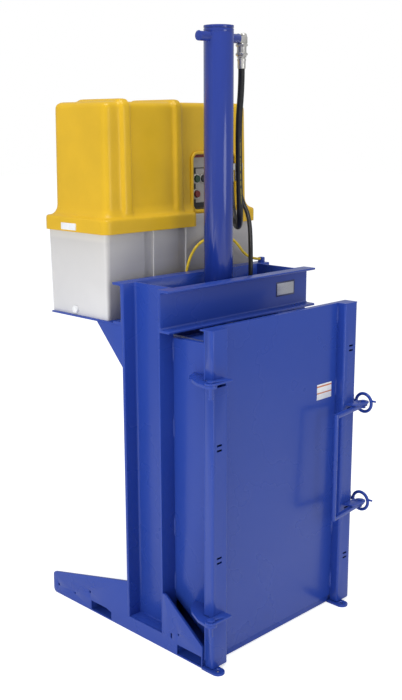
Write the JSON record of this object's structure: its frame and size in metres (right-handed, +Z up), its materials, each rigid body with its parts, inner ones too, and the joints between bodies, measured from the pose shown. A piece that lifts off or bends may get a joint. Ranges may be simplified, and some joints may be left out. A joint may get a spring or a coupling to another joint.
{
  "type": "drum crusher",
  "caption": "Upright drum crusher with a hinged front door, lever latch, vertical hydraulic ram, rear power unit under a moulded cover, and a base with fork pockets.",
  "frame": {"origin": "on the floor under the ram's axis", "axes": "+Z up, -Y out of the door, -X towards the door's hinges"},
  "size_m": [0.936, 1.0006, 2.29],
  "materials": {
    "blue_paint": "glossy enamel",
    "steel": "machined",
    "chrome": "polished",
    "zinc": "zinc plated",
    "yellow_plastic": "satin moulded",
    "tub_plastic": "translucent moulded",
    "hose_rubber": "smooth",
    "cord_rubber": "smooth",
    "label": "plain",
    "black_plastic": "moulded",
    "green_plastic": "smooth",
    "red_plastic": "smooth",
    "grey_paint": "satin"
  },
  "bodies": {
    "frame": {"barrel": "blue_paint", "barrel_cap": "blue_paint", "base_tubes": "blue_paint", "column_left": "blue_paint", "column_right": "blue_paint", "control_panel": "grey_paint", "cord_clip": "blue_paint", "cord_fittings": "black_plastic", "cord_left": "cord_rubber", "cord_right": "cord_rubber", "cover": "yellow_plastic", "floor_plate": "blue_paint", "foot_lugs": "blue_paint", "frame_hinges": "blue_paint", "front_beam": "blue_paint", "hinge_pins": "blue_paint", "hose_ferrules": "zinc", "hose_lower": "hose_rubber", "hose_upper": "hose_rubber", "keeper_eyebolts": "blue_paint", "keeper_nuts": "blue_paint", "keeper_plates": "blue_paint", "motor": "grey_paint", "mount_plate": "blue_paint", "mounting_board": "steel", "nameplate": "zinc", "pipe_elbows": "zinc", "pump": "steel", "rear_beam": "blue_paint", "rear_wall": "blue_paint", "rod_gland": "steel", "shelf": "blue_paint", "shelf_gussets": "blue_paint", "side_panel_left": "blue_paint", "side_panel_right": "blue_paint", "side_plate_left": "blue_paint", "side_plate_right": "blue_paint", "tank": "grey_paint", "tub": "tub_plastic", "unit_fittings": "label", "valve_block": "steel"},
    "door": {"door_panel": "blue_paint", "stile_left": "blue_paint", "stile_right": "blue_paint", "door_hinges": "blue_paint", "latch_lugs": "blue_paint", "latch_pins": "blue_paint", "door_label": "label"},
    "latch": {"latch_rod": "blue_paint", "latch_arms": "blue_paint"},
    "ram": {"piston": "steel", "piston_rod": "chrome", "platen": "blue_paint"},
    "start_button": {"start_button": "green_plastic"},
    "stop_button": {"stop_button": "red_plastic"}
  },
  "joints": [
    {"name": "door_swing", "type": "hinge", "parent": "frame", "child": "door", "pos_m": [-0.425, -0.374, 0.65], "axis": [0, 0, -1], "range_deg": [0, 165]},
    {"name": "latch_turn", "type": "hinge", "parent": "door", "child": "latch", "pos_m": [0.439, -0.382, 0.64], "axis": [0, 0, 1], "range_deg": [0, 110]},
    {"name": "ram_slide", "type": "slide", "parent": "frame", "child": "ram", "axis": [0, 0, -1], "range_m": [0, 0.93]},
    {"name": "start_press", "type": "slide", "parent": "frame", "child": "start_button", "axis": [0, 1, 0], "range_m": [0, 0.003], "stiffness_N_per_m": 600},
    {"name": "stop_press", "type": "slide", "parent": "frame", "child": "stop_button", "axis": [0, 1, 0], "range_m": [0, 0.003], "stiffness_N_per_m": 600}
  ]
}
